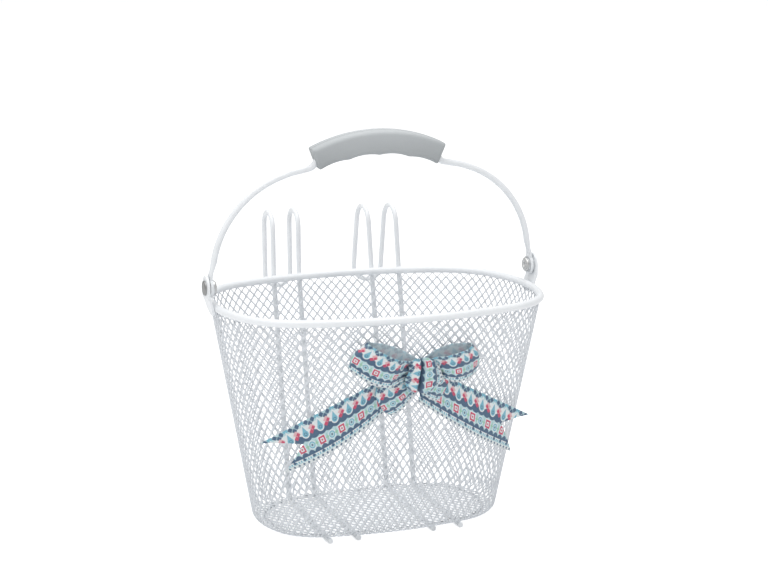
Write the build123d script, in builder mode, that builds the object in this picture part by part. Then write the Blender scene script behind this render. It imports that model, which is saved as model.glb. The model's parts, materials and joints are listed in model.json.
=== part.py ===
from build123d import *
from math import atan2, cos, degrees, hypot, radians, sin, sqrt, tan
import os

# Child's bicycle handlebar basket: an oval tapered mesh body on a round wire rim,
# two double hook wires at the back, a bail handle on riveted ears, and a ribbon bow.
# Millimetres, +Z up, +X to the basket's left-right, -Y is the front with the bow.

# ---------------------------------------------------------------- driving sizes
# Body
body_height = 180.0          # underside of the mesh floor to the rim's centre line
mesh_t = 1.2                 # thickness of the mesh skin

rim_half_w = 130.0           # rim centre line, half width
rim_half_d = 100.0           # rim centre line, half depth
rim_long_r = 260.0           # front and back arcs
rim_end_r = 143.0            # end arcs
rim_corner_r = 59.0          # corner arcs

base_half_w = 99.0
base_half_d = 63.0
base_long_r = 270.0
base_end_r = 70.0
base_corner_r = 46.0
base_back = 6.0              # the floor sits this far behind the rim's middle
base_edge_r = 7.0            # rounded lower edge of the mesh
pan_height = 12.0            # the floor panel turns up to this height

# Wires
rim_wire_d = 6.0
hook_wire_d = 4.2
weld_gap = 0.05              # seat between two welded pieces

# Hooks: two pairs, each pair one wire
hook_inner_x = 30.8          # arch of the leg nearer the middle
hook_pitch = 23.2            # inner leg to outer leg
hook_mouth = 21.8            # clear width for the handlebar
hook_top_rise = 56.0         # top of the arches above the rim's centre line
hook_free_drop = 14.0        # the U turn of the free legs ends this far below the rim's centre line
hook_splay_fixed = 2.9       # right pair: fixed legs lean out by this much at the rim
hook_splay_free = 5.2        # right pair: free legs lean in by this much at the U turn
hook_bend_r = 8.0            # bends at the floor
rim_bend_r = 10.0            # slight bend where the riser turns upright
hook_front_y = 49.5          # the feet end this far in front of the rim's middle
foot_spread = 1.6            # left pair: feet run out by this much towards the front
foot_gather = 3.4            # right pair: feet run in by this much towards the front

# Handle pivots
pivot_rise = 15.4            # pivot above the rim's centre line
ear_w = 19.0
ear_t = 1.8
ear_stand = 2.8              # inner face of the ear at the pivot, out from the rim's outside
ear_tail = 22.0              # ear length below the pivot
ear_slope = 15.04            # degrees, the ear leans in below the rim's top
rivet_d = 5.0
rivet_head_d = 11.5
outer_head_t = 1.6
inner_head_t = 2.0
dimple_d = 4.0               # punched hollow in the inner head
dimple_depth = 0.9
washer_d = 13.0
washer_t = 0.8
side_gap = 0.3               # axial play each side of the handle's eye
pin_fit = 0.08               # radial running clearance of the eye on the rivet
hole_fit = 0.05              # radial clearance of ear and washers on the rivet

# Handle wire and grip
handle_wire_d = 5.0
handle_lean = 6.0            # degrees forward at rest
eye_d = 15.0
eye_t = 2.2
neck_w = 8.0
handle_rise = 108.5          # pivot to the wire's centre at the middle of the grip
grip_wire_half = 46.0        # the wire's arch inside the grip ends at this half length
grip_wire_drop = 10.5        # fall of the wire's arch from the middle to its ends
grip_crown = 9.1             # top of the grip above the wire's centre
grip_under = 8.1             # hollows of the fingers below the wire's centre
grip_top_half = 55.0
grip_bottom_half = 48.5
grip_top_drop = 12.6
grip_bottom_drop = 9.8
grip_depth = 15.0
finger_depth = 1.8
grip_edge_r = 3.0
parting_gap = 0.1

ridge_r = 6.0
grip_corner_r = 1.5
neck_flat = 8.5              # length of the flattened neck from the pivot
neck_length = 20.0           # the neck is round again this far from the pivot
arm_tuck = 2.8               # the arm leans in by this much at the neck
arm_mid_x = 113.8
arm_mid_drop = 49.6          # heights of the arm below the grip's wire
arm_high_x = 77.0
arm_high_drop = 23.9
step_run = 7.0               # the arm runs on straight before its slight bend
step_width = 3.85            # the wire steps up into the grip's ends
step_rise = 6.3
step_inside = 3.5            # straight run from the step to the arch
step_bend_r = 6.0
arm_bend_r = 30.0

# Ribbon bow
ribbon_w = 25.0
ribbon_t = 0.6
bow_x = 3.0
bow_height = 134.0           # knot's middle above the mesh floor's underside
knot_w = 22.0
knot_h = 24.0
knot_depth = 12.0
knot_edge_r = 3.5
knot_lift = 3.5              # knot and loops sit this far above the tails' middle
left_loop_reach = 57.0       # knot's middle to the loop's outer fold
right_loop_reach = 48.0
loop_swell = 15.0
loop_tip_t = 10.0
left_loop_tilt = 21.0        # degrees, the loops rise away from the knot
right_loop_tilt = 11.0
bow_gap = 0.3                # between layers of the bow, and to the mesh

# ---------------------------------------------------------------- derived sizes
floor_z = hook_wire_d + weld_gap
rim_z = floor_z + body_height
pivot_z = rim_z + pivot_rise
ear_face_x = rim_half_w + rim_wire_d / 2 + ear_stand
wall_top_z = rim_z - rim_wire_d / 2 - weld_gap
hook_r = hook_wire_d / 2


def oval_angles(half_w, half_d, long_r, end_r, corner_r):
    """Centre of the corner arc and the directions where it meets its neighbours."""
    cy, cx = half_d - long_r, half_w - end_r
    r1, r2 = long_r - corner_r, end_r - corner_r
    span = hypot(cx, cy)
    along = (span * span + r1 * r1 - r2 * r2) / (2 * span)
    across = sqrt(r1 * r1 - along * along)
    ux, uy = cx / span, -cy / span
    px = ux * along - uy * across
    py = cy + uy * along + ux * across
    qx = ux * along + uy * across
    qy = cy + uy * along - ux * across
    if qx > 0 and qy > 0:
        px, py = qx, qy
    t_long = degrees(atan2(py - cy, px))
    t_end = degrees(atan2(py, px - cx))
    return px, py, t_long, t_end


def oval(half_w, half_d, long_r, end_r, corner_r, shift=0.0):
    """Eight arcs: long front and back, gentle ends and four corners, all tangent."""
    px, py, t1, t2 = oval_angles(half_w, half_d, long_r, end_r, corner_r)
    turn = t1 - t2
    CenterArc((half_w - end_r, shift), end_r, -t2, 2 * t2)
    CenterArc((px, shift + py), corner_r, t2, turn)
    CenterArc((0, shift + half_d - long_r), long_r, t1, 180 - 2 * t1)
    CenterArc((-px, shift + py), corner_r, 180 - t1, turn)
    CenterArc((end_r - half_w, shift), end_r, 180 - t2, 2 * t2)
    CenterArc((-px, shift - py), corner_r, 180 + t2, turn)
    CenterArc((0, shift + long_r - half_d), long_r, 180 + t1, 180 - 2 * t1)
    CenterArc((px, shift - py), corner_r, 360 - t1, turn)


def section(z, grow):
    """Face of the mesh body's outline at height z, grown outwards by grow."""
    k = (z - floor_z) / body_height
    mix = lambda low, high: low + (high - low) * k
    with BuildSketch(Plane.XY.offset(z)) as outline:
        with BuildLine():
            oval(
                mix(base_half_w, rim_half_w) + grow,
                mix(base_half_d, rim_half_d) + grow,
                mix(base_long_r, rim_long_r) + grow,
                mix(base_end_r, rim_end_r) + grow,
                mix(base_corner_r, rim_corner_r) + grow,
                mix(base_back, 0),
            )
        make_face()
    return outline.sketch


def back_y(x, z):
    """Back of the mesh's middle surface at x and height z."""
    k = (z - floor_z) / body_height
    long_r = base_long_r + (rim_long_r - base_long_r) * k
    half_d = base_half_d + (rim_half_d - base_half_d) * k
    return base_back * (1 - k) + half_d - long_r + sqrt(long_r**2 - x**2)


# ---------------------------------------------------------------- rim
with BuildPart() as rim_wire:
    with BuildLine(Plane.XY.offset(rim_z)) as rim_path:
        oval(rim_half_w, rim_half_d, rim_long_r, rim_end_r, rim_corner_r)
    with BuildSketch(Plane(rim_path.wire() @ 0, z_dir=rim_path.wire() % 0)):
        Circle(rim_wire_d / 2)
    sweep(path=rim_path.wire())

# ---------------------------------------------------------------- mesh wall and floor
with BuildPart() as mesh_wall:
    loft([section(floor_z + pan_height, mesh_t / 2), section(wall_top_z, mesh_t / 2)], ruled=True)
    hollow = [section(floor_z + pan_height, -mesh_t / 2), section(wall_top_z, -mesh_t / 2)]
    loft(hollow, ruled=True, mode=Mode.SUBTRACT)

with BuildPart() as pan_hollow:
    loft([section(floor_z + mesh_t, -mesh_t / 2), section(floor_z + pan_height, -mesh_t / 2)], ruled=True)
    fillet(pan_hollow.faces().sort_by(Axis.Z)[0].edges(), base_edge_r - mesh_t)

with BuildPart() as mesh_base:
    loft([section(floor_z, mesh_t / 2), section(floor_z + pan_height, mesh_t / 2)], ruled=True)
    fillet(mesh_base.faces().sort_by(Axis.Z)[0].edges(), base_edge_r)
    add(pan_hollow.part, mode=Mode.SUBTRACT)

# ---------------------------------------------------------------- hooks
bar_r = hook_mouth / 2 + hook_r
arch_z = rim_z + hook_top_rise - hook_r
free_z = rim_z - hook_free_drop + hook_r


def leg(side, arch_x, rim_x, floor_x, foot_x):
    """Foot, back riser and arch of one leg, from the front foot to the free side."""
    across = sqrt(1 - (rim_x / rim_long_r) ** 2)
    rim_y = back_y(rim_x, rim_z) + (rim_wire_d / 2 + hook_r + 2 * weld_gap) / across
    low_y = back_y(floor_x, floor_z) + mesh_t / 2 + hook_r + weld_gap
    return [
        (side * foot_x, -hook_front_y, hook_r),
        (side * floor_x, low_y, hook_r),
        (side * rim_x, rim_y, rim_z),
        (side * arch_x, rim_y, arch_z),
        (side * arch_x, rim_y + 2 * bar_r, arch_z),
    ]


def hook_pair(side, splay_fixed, splay_free, foot_run):
    """Corner points and bend radii of one wire that makes two hooks."""
    xs = (hook_inner_x, hook_inner_x + hook_pitch)
    low = [x + splay_fixed for x in xs]
    inner = leg(side, xs[0], low[0], low[0], low[0] + foot_run)
    outer = leg(side, xs[1], low[1], low[1], low[1] + foot_run)
    u_in = (side * (xs[0] - splay_free), inner[-1][1], free_z)
    u_out = (side * (xs[1] - splay_free), outer[-1][1], free_z)
    points = inner + [u_in, u_out] + outer[::-1]
    arch = bar_r - 0.02
    turn = hook_pitch / 2 - 0.3
    half = [hook_bend_r, rim_bend_r, arch, arch]
    return points, half + [turn, turn] + half[::-1]


with BuildPart() as hook_wire_left:
    hl_points, hl_radii = hook_pair(-1, 0.0, 0.0, foot_spread)
    with BuildLine() as hl_path:
        FilletPolyline(*hl_points, radius=hl_radii)
    with BuildSketch(Plane(hl_path.wire() @ 0, z_dir=hl_path.wire() % 0)):
        Circle(hook_r)
    sweep(path=hl_path.wire())

with BuildPart() as hook_wire_right:
    hr_points, hr_radii = hook_pair(1, hook_splay_fixed, hook_splay_free, -foot_gather)
    with BuildLine() as hr_path:
        FilletPolyline(*hr_points, radius=hr_radii)
    with BuildSketch(Plane(hr_path.wire() @ 0, z_dir=hr_path.wire() % 0)):
        Circle(hook_r)
    sweep(path=hr_path.wire())

# ---------------------------------------------------------------- ears, rivets and washers
ear_bend_z = rim_z + rim_wire_d / 2 + 5.0                      # the ear leaves the upright here
ear_knee_rise = rim_wire_d / 2 + 1.2
ear_knee_z = rim_z + ear_knee_rise
ear_turn = radians(ear_slope)                 # the lower run passes the rim at weld_gap
ear_reach = (rim_wire_d / 2 + weld_gap + ear_knee_rise * sin(ear_turn)) / cos(ear_turn)
ear_knee_x = rim_half_w + ear_reach
ear_low_z = pivot_z - ear_tail
ear_low_x = ear_knee_x - (ear_knee_z - ear_low_z) * tan(ear_turn)
washer_out_x = ear_face_x - washer_t
eye_out_x = washer_out_x - side_gap
eye_in_x = eye_out_x - eye_t
washer_in_x = eye_in_x - side_gap - washer_t
eye_mid_x = (eye_in_x + eye_out_x) / 2

with BuildPart() as bracket_right:
    with BuildSketch(Plane.XZ):
        with BuildLine():
            ear_line = FilletPolyline(
                (ear_face_x, pivot_z + ear_w / 2),
                (ear_face_x, ear_bend_z),
                (ear_knee_x, ear_knee_z),
                (ear_low_x, ear_low_z),
                radius=3.0,
            )
            offset(ear_line, amount=ear_t, side=Side.LEFT, closed=True)
        make_face()
    extrude(amount=ear_w / 2, both=True)
    with BuildSketch(Plane.YZ):
        with Locations((0, pivot_z)):
            Circle(ear_w / 2)
        with Locations((0, (pivot_z + ear_low_z + ear_w / 2) / 2)):
            Rectangle(ear_w, pivot_z - ear_low_z - ear_w / 2)
        with Locations((0, ear_low_z + ear_w / 2)):
            Circle(ear_w / 2)
    extrude(amount=2 * ear_face_x, mode=Mode.INTERSECT)
    with BuildSketch(Plane.YZ.offset(ear_face_x - 1)):
        with Locations((0, pivot_z)):
            Circle(rivet_d / 2 + hole_fit)
    extrude(amount=ear_t + 2, mode=Mode.SUBTRACT)

with BuildPart() as rivet_right:
    with BuildSketch(Plane.YZ.offset(washer_in_x - 0.1)):
        with Locations((0, pivot_z)):
            Circle(rivet_d / 2)
    extrude(amount=ear_face_x + ear_t - washer_in_x + 0.2)
    with BuildSketch(Plane.YZ.offset(ear_face_x + ear_t)):
        with Locations((0, pivot_z)):
            Circle(rivet_head_d / 2)
    extrude(amount=outer_head_t)
    with BuildSketch(Plane.YZ.offset(washer_in_x)):
        with Locations((0, pivot_z)):
            Circle(rivet_head_d / 2)
    extrude(amount=-inner_head_t)
    fillet(rivet_right.faces().sort_by(Axis.X)[-1].edges(), outer_head_t * 0.7)
    fillet(rivet_right.faces().sort_by(Axis.X)[0].edges(), inner_head_t * 0.8)
    with BuildSketch(Plane.YZ.offset(washer_in_x - inner_head_t)):
        with Locations((0, pivot_z)):
            Circle(dimple_d / 2)
    extrude(amount=dimple_depth, taper=35, mode=Mode.SUBTRACT)

with BuildPart() as washer_outer_right:
    with BuildSketch(Plane.YZ.offset(washer_out_x)):
        with Locations((0, pivot_z)):
            Circle(washer_d / 2)
            Circle(rivet_d / 2 + hole_fit, mode=Mode.SUBTRACT)
    extrude(amount=washer_t)

with BuildPart() as washer_inner_right:
    with BuildSketch(Plane.YZ.offset(washer_in_x)):
        with Locations((0, pivot_z)):
            Circle(washer_d / 2)
            Circle(rivet_d / 2 + hole_fit, mode=Mode.SUBTRACT)
    extrude(amount=washer_t)

# ---------------------------------------------------------------- handle wire
# Local plane of the bail: x along the pivot axis, y up the bail, z to the front.
lean = radians(handle_lean)
bail = Plane(origin=(0, 0, pivot_z), x_dir=(1, 0, 0), z_dir=(0, -cos(lean), -sin(lean)))

grip_arc_r = (grip_wire_half**2 + grip_wire_drop**2) / (2 * grip_wire_drop)
grip_end = Vector(grip_wire_half, handle_rise - grip_wire_drop)
grip_slope = atan2(grip_wire_half, grip_arc_r - grip_wire_drop)
grip_turn = degrees(grip_slope)
step_high = grip_end + Vector(cos(grip_slope), -sin(grip_slope)) * step_inside
step_low = step_high + Vector(step_width, -step_rise)

with BuildLine() as arm_line:
    arm = ThreePointArc(
        (eye_mid_x - arm_tuck, neck_length),
        (arm_mid_x, handle_rise - arm_mid_drop),
        (arm_high_x, handle_rise - arm_high_drop),
    )
    mirror(about=Plane.YZ)

with BuildLine() as grip_line:
    FilletPolyline(
        arm @ 1,
        arm @ 1 + (arm % 1) * step_run,
        step_low,
        step_high,
        grip_end,
        radius=[arm_bend_r, step_bend_r, step_bend_r],
    )
    mirror(about=Plane.YZ)
    CenterArc((0, handle_rise - grip_arc_r), grip_arc_r, 90 - grip_turn, 2 * grip_turn)

with BuildLine() as bail_line:
    add(arm_line.line)
    add(grip_line.line)

with BuildPart() as handle_wire:
    handle_path = bail.from_local_coords(bail_line.wire())
    with BuildSketch(Plane(handle_path @ 0, z_dir=handle_path % 0)):
        Circle(handle_wire_d / 2)
    sweep(path=handle_path)
    for side in (1, -1):
        root = bail.from_local_coords(Vector(side * eye_mid_x, neck_flat, 0))
        top = handle_path @ 0 if side * (handle_path @ 0).X > 0 else handle_path @ 1
        rise = Vector(side * (arm % 0).X, (arm % 0).Y, 0)
        rise = bail.from_local_coords(rise) - bail.origin
        with BuildSketch(Plane(root, x_dir=(1, 0, 0), z_dir=bail.y_dir)):
            Rectangle(eye_t, neck_w)
        with BuildSketch(Plane(top, x_dir=bail.z_dir.cross(rise), z_dir=rise)):
            Circle(handle_wire_d / 2)
        loft()
        eye_face = side * eye_mid_x - eye_t / 2
        eye_plane = Plane(origin=(eye_face, 0, pivot_z), x_dir=bail.y_dir, z_dir=(1, 0, 0))
        with BuildSketch(eye_plane):
            Circle(eye_d / 2)
            with Locations((neck_flat / 2, 0)):
                Rectangle(neck_flat, neck_w)
        extrude(amount=eye_t)
        with BuildSketch(eye_plane):
            Circle(rivet_d / 2 + pin_fit)
        extrude(amount=eye_t, mode=Mode.SUBTRACT)

# ---------------------------------------------------------------- grip
grip_top = handle_rise + grip_crown
finger_y = handle_rise - grip_under - finger_depth
finger_pitch = grip_bottom_half / 2


def under_y(x):
    """Line through the ridges between the fingers, an arc over the grip's length."""
    return finger_y - grip_bottom_drop * (x / grip_bottom_half) ** 2


with BuildPart() as grip_front:
    with BuildSketch(bail.offset(parting_gap / 2)) as grip_side:
        with BuildLine():
            top_end = grip_top - grip_top_drop
            ThreePointArc((-grip_top_half, top_end), (0, grip_top), (grip_top_half, top_end))
            Line((grip_top_half, top_end), (grip_bottom_half, under_y(grip_bottom_half)))
            for k in (1, 0, -1, -2):
                x0, x1 = k * finger_pitch, (k + 1) * finger_pitch
                xm = (x0 + x1) / 2
                middle = (under_y(x0) + under_y(x1)) / 2 + finger_depth
                ThreePointArc((x1, under_y(x1)), (xm, middle), (x0, under_y(x0)))
            Line((-grip_bottom_half, under_y(grip_bottom_half)), (-grip_top_half, top_end))
        make_face()
        ridges = grip_side.vertices().filter_by(lambda v: abs(v.X) < 1.5 * finger_pitch)
        fillet(ridges, ridge_r)
        corners = grip_side.vertices().filter_by(lambda v: abs(v.X) > 1.7 * finger_pitch)
        fillet(corners, grip_corner_r)
    extrude(amount=(grip_depth - parting_gap) / 2)
    fillet(grip_front.faces().sort_by(Axis(bail.origin, bail.z_dir))[-1].edges(), grip_edge_r)

with BuildPart() as grip_bore:
    bore_path = bail.from_local_coords(grip_line.wire())
    with BuildSketch(Plane(bore_path @ 0, z_dir=bore_path % 0)):
        Circle(handle_wire_d / 2 + hole_fit)
    sweep(path=bore_path)

with BuildPart() as grip_front_half:
    add(grip_front.part)
    add(grip_bore.part, mode=Mode.SUBTRACT)

with BuildPart() as grip_rear_half:
    mirror(grip_front_half.part, about=bail)

# ---------------------------------------------------------------- bow
wall_lean = atan2(rim_half_d - base_half_d + base_back, body_height)
bow_z = floor_z + bow_height
wall_front_y = -(base_half_d - base_back) - (bow_height / body_height) * (
    rim_half_d - base_half_d + base_back
)
bow_plane = Plane(
    origin=(bow_x, wall_front_y - (mesh_t / 2 + bow_gap) / cos(wall_lean), bow_z),
    x_dir=(1, 0, 0),
    z_dir=(0, -cos(wall_lean), -sin(wall_lean)),
)
layer = ribbon_t + bow_gap                    # loops and knot lie over the tails
knot_plane = Plane(
    origin=bow_plane.origin + bow_plane.y_dir * knot_lift,
    x_dir=bow_plane.x_dir,
    z_dir=bow_plane.z_dir,
)

with BuildPart() as bow_knot:
    with BuildSketch(knot_plane.offset(layer)):
        Rectangle(knot_w, knot_h)
    extrude(amount=knot_depth)
    fillet(bow_knot.edges().filter_by(GeomType.LINE), knot_edge_r)


def bow_loop(side, tilt, reach):
    """Folded band of ribbon: a flat teardrop tube whose width runs up the wall."""
    turn = radians(side * tilt)
    along = bow_plane.x_dir * cos(turn) + bow_plane.y_dir * sin(turn)
    across = Plane(knot_plane.origin, x_dir=along, z_dir=along.cross(bow_plane.z_dir))
    lift = radians(tilt)
    flat_half = knot_h / 2 - knot_edge_r
    start = (knot_w / 2 + bow_gap) * cos(lift) + flat_half * sin(lift)
    tip = reach - loop_tip_t / 2
    low = layer + bow_gap
    with BuildPart() as loop:
        with BuildSketch(across):
            with BuildLine():
                ThreePointArc(
                    (side * start, low + 4.0),
                    (side * (start + tip) / 2, low + loop_swell),
                    (side * tip, low + loop_tip_t),
                )
                ThreePointArc(
                    (side * tip, low + loop_tip_t),
                    (side * reach, low + loop_tip_t / 2),
                    (side * tip, low),
                )
                Line((side * tip, low), (side * start, low))
                Line((side * start, low), (side * start, low + 4.0))
            make_face()
            offset(amount=-ribbon_t, mode=Mode.SUBTRACT)
        extrude(amount=ribbon_w / 2, both=True)
    return loop.part


def bow_tail(side, curve, outline):
    """Ribbon end with a V cut: a leaning strip trimmed by its outline seen from the front."""
    start_y = bow_plane.origin.Y
    plan = [(bow_x + side * 0.1, start_y)] + [(bow_x + x, start_y + y) for x, y in curve]
    up = (0, -sin(wall_lean), cos(wall_lean))
    with BuildPart() as tail:
        with BuildSketch(Plane.XY.offset(bow_z)):
            with BuildLine():
                run = ThreePointArc(*plan)
                offset(run, amount=ribbon_t, side=Side.LEFT if side < 0 else Side.RIGHT, closed=True)
            make_face()
        extrude(amount=95, dir=up, both=True)
        with BuildSketch(Plane.XZ):
            with BuildLine():
                Polyline(*[(bow_x + x, bow_z + z) for x, z in outline], close=True)
            make_face()
        extrude(amount=2 * rim_half_d, mode=Mode.INTERSECT)
    return tail.part


bow_loop_left = bow_loop(-1, left_loop_tilt, left_loop_reach)
bow_loop_right = bow_loop(1, right_loop_tilt, right_loop_reach)
bow_tail_left = bow_tail(
    -1,
    [(-58.0, 4.4), (-114.0, 22.0)],
    [(-0.1, 9), (-40, -6), (-116, -49), (-84, -51), (-96, -74), (-35, -35), (-0.1, -14)],
)
bow_tail_right = bow_tail(
    1,
    [(52.0, 3.5), (101.0, 11.0)],
    [(0.1, 9), (101, -45), (73, -49), (87, -75), (25, -39), (0.1, -14)],
)

# ---------------------------------------------------------------- left-hand copies
with BuildPart() as bracket_left:
    mirror(bracket_right.part, about=Plane.YZ)

with BuildPart() as rivet_left:
    mirror(rivet_right.part, about=Plane.YZ)

with BuildPart() as washer_outer_left:
    mirror(washer_outer_right.part, about=Plane.YZ)

with BuildPart() as washer_inner_left:
    mirror(washer_inner_right.part, about=Plane.YZ)

# ---------------------------------------------------------------- export
pieces = {
    "rim_wire": rim_wire.part,
    "mesh_wall": mesh_wall.part,
    "mesh_base": mesh_base.part,
    "hook_wire_left": hook_wire_left.part,
    "hook_wire_right": hook_wire_right.part,
    "bracket_left": bracket_left.part,
    "bracket_right": bracket_right.part,
    "rivet_left": rivet_left.part,
    "rivet_right": rivet_right.part,
    "washer_outer_left": washer_outer_left.part,
    "washer_outer_right": washer_outer_right.part,
    "washer_inner_left": washer_inner_left.part,
    "washer_inner_right": washer_inner_right.part,
    "handle_wire": handle_wire.part,
    "grip_front_half": grip_front_half.part,
    "grip_rear_half": grip_rear_half.part,
    "bow_knot": bow_knot.part,
    "bow_loop_left": bow_loop_left,
    "bow_loop_right": bow_loop_right,
    "bow_tail_left": bow_tail_left,
    "bow_tail_right": bow_tail_right,
}

# The origin is on the ground, under the middle of the whole part.
corners = [piece.bounding_box() for piece in pieces.values()]
shift_x = -(min(c.min.X for c in corners) + max(c.max.X for c in corners)) / 2
shift_y = -(min(c.min.Y for c in corners) + max(c.max.Y for c in corners)) / 2
print("shift", round(shift_x, 4), round(shift_y, 4))
print("pivot height", round(pivot_z, 3), "eye middle", round(eye_mid_x, 3))

os.makedirs("parts", exist_ok=True)
for name, piece in pieces.items():
    placed = Pos(shift_x, shift_y, 0) * piece
    placed.label = name
    export_step(placed, f"parts/{name}.step")
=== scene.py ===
# %% [markdown]
# # A child's handlebar basket
#
# The basket is an oval tub of white wire mesh on a round wire rim. Two bent wires at
# the back hang it over a handlebar, a bail handle with a moulded grip swings on two
# rivets, and a printed ribbon is tied in a bow on the front. The wires, ears, rivets
# and grip come from the CAD model as they are. This lesson makes what is too fine or
# too soft for CAD: the diamond mesh, the ribbon, and the finish of every piece.

# %% The frame
import json
import bpy
import numpy as np
from mathutils import Matrix, Vector


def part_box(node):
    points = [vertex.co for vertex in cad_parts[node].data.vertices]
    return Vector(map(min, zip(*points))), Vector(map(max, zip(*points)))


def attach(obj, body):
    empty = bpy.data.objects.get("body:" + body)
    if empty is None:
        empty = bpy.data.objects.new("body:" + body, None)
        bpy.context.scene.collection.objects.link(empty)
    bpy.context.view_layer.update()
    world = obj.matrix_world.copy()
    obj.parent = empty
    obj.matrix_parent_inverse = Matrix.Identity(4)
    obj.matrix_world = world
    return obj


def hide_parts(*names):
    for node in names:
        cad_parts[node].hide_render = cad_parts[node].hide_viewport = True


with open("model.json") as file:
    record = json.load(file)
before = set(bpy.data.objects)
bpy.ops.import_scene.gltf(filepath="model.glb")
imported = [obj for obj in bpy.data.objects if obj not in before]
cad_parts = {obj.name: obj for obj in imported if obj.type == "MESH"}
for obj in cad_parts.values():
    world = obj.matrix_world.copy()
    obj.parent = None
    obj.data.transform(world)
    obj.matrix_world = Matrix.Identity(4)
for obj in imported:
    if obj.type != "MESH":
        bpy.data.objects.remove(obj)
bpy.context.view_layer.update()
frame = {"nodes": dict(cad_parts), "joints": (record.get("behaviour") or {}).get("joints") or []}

# %% [markdown]
# ## Sizes
#
# The mesh follows the same ovals as the CAD skin that it replaces: eight arcs that
# touch smoothly, one set at the rim and one at the floor. Repeating those few sizes
# here keeps the mesh exactly on the skin. The places come from the frame.

# %% Sizes, in metres
low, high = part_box("rim_wire")
MIDDLE_Y = (low.y + high.y) / 2          # the rim's middle
RIM_Z = (low.z + high.z) / 2             # the rim's centre line
RIM_WIRE = high.z - low.z                # the rim wire's diameter
FLOOR_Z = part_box("mesh_base")[0].z       # underside of the mesh floor
BODY_H = RIM_Z - FLOOR_Z
SKIN = 0.0012                            # thickness of the CAD skin
RIM_OVAL = np.array([0.130, 0.100, 0.260, 0.143, 0.059])
BASE_OVAL = np.array([0.099, 0.063, 0.270, 0.070, 0.046])
BASE_BACK = 0.006                        # the floor's middle is this far behind the rim's
EDGE_R = 0.0064                          # the rounded edge between wall and floor
WALL_LEAN = np.radians(11.5)             # mean lean of the wall
print("rim at", round(RIM_Z, 5), "floor at", round(FLOOR_Z, 5), "middle", round(MIDDLE_Y, 5))


# %% [markdown]
# ## From numbers to a mesh
#
# Every new piece here is a set of four-sided faces worked out as whole numpy arrays.
# `from_pydata` would do, but `foreach_set` moves a whole array in one call, which
# matters for a mesh of many thousand strands. A triangle count is printed for each.

# %% A piece from arrays of points and four-sided faces
def quad_piece(name, points, quads, materials, index=None, uv=None):
    """Object with these points and faces, smooth shaded, its place in its mesh."""
    mesh = bpy.data.meshes.new(name)
    mesh.vertices.add(len(points))
    mesh.vertices.foreach_set("co", np.asarray(points, np.float32).ravel())
    mesh.loops.add(quads.size)
    mesh.loops.foreach_set("vertex_index", quads.ravel().astype(np.int32))
    mesh.polygons.add(len(quads))
    mesh.polygons.foreach_set("loop_start", np.arange(0, quads.size, 4, dtype=np.int32))
    mesh.polygons.foreach_set("use_smooth", np.ones(len(quads), bool))
    for material in materials:
        mesh.materials.append(material)
    if index is not None:
        mesh.polygons.foreach_set("material_index", index.astype(np.int32))
    if uv is not None:
        layer = mesh.uv_layers.new(name="ribbon")
        layer.data.foreach_set("uv", uv[quads.ravel()].astype(np.float32).ravel())
    mesh.update(calc_edges=True)
    mesh.validate()
    obj = bpy.data.objects.new(name, mesh)
    bpy.context.scene.collection.objects.link(obj)
    print(name, len(points), "points", 2 * len(quads), "triangles")
    return obj


# %% [markdown]
# ## A shorthand for shader nodes
#
# A pattern such as the ribbon's print is arithmetic on two coordinates, and a node
# tree drawn by hand hides that. `Sock` wraps one output socket, so that `a * b + 1`
# adds the Math nodes. `Bench` is one material's workbench: its single method `node`
# adds any other node from its type, its settings and what goes into its sockets.

# %% The shorthand
class Sock:
    """An output socket that takes part in ordinary arithmetic."""

    def __init__(self, bench, out):
        self.bench, self.out = bench, out

    def _math(self, operation, *values):
        return self.bench.node("ShaderNodeMath", {"operation": operation}, values)

    def __add__(self, other): return self._math("ADD", self, other)
    def __sub__(self, other): return self._math("SUBTRACT", self, other)
    def __mul__(self, other): return self._math("MULTIPLY", self, other)
    def __truediv__(self, other): return self._math("DIVIDE", self, other)
    def __mod__(self, other): return self._math("FLOORED_MODULO", self, other)
    def __rsub__(self, other): return self._math("SUBTRACT", other, self)
    def __gt__(self, other): return self._math("GREATER_THAN", self, other)
    def __lt__(self, other): return self._math("LESS_THAN", self, other)
    def __abs__(self): return self._math("ABSOLUTE", self)
    def sin(self): return self._math("SINE", self)
    def either(self, other): return self._math("MAXIMUM", self, other)
    __radd__ = __add__
    __rmul__ = __mul__


class Bench:
    """One material and its nodes."""

    def __init__(self, name):
        self.material = bpy.data.materials.new(name)
        self.material.use_nodes = True
        self.tree = self.material.node_tree
        self.tree.nodes.clear()

    def node(self, kind, settings=(), sockets=(), out=0):
        """Adds a node: settings first, then its sockets by number or name."""
        made = self.tree.nodes.new(kind)
        for key, value in dict(settings).items():
            setattr(made, key, value)
        given = sockets.items() if isinstance(sockets, dict) else enumerate(sockets)
        for key, value in given:
            if isinstance(value, Sock):
                self.tree.links.new(value.out, made.inputs[key])
            elif value is not None:
                made.inputs[key].default_value = value
        return Sock(self, made.outputs[out]) if len(made.outputs) else None

    def mix(self, share, a, b):
        """Colour a where share is 0, colour b where it is 1."""
        return self.node("ShaderNodeMix", {"data_type": "RGBA"}, {0: share, 6: a, 7: b}, out=2)

    def noise(self, where, scale, detail=2.0):
        """Soft grey clouds from 0 to 1."""
        return self.node("ShaderNodeTexNoise", {}, {"Vector": where, "Scale": scale, "Detail": detail})

    def bump(self, height, distance):
        """Normal of a surface raised by height times distance, in metres."""
        return self.node("ShaderNodeBump", {}, {"Height": height, "Distance": distance, "Strength": 1.0})

    def surface(self, **sockets):
        """Principled surface, plugged into the output. Names use _ for a space."""
        inputs = {key.replace("_", " "): value for key, value in sockets.items()}
        shader = self.node("ShaderNodeBsdfPrincipled", {}, inputs)
        self.node("ShaderNodeOutputMaterial", {}, {"Surface": shader})
        return self.material


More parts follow.
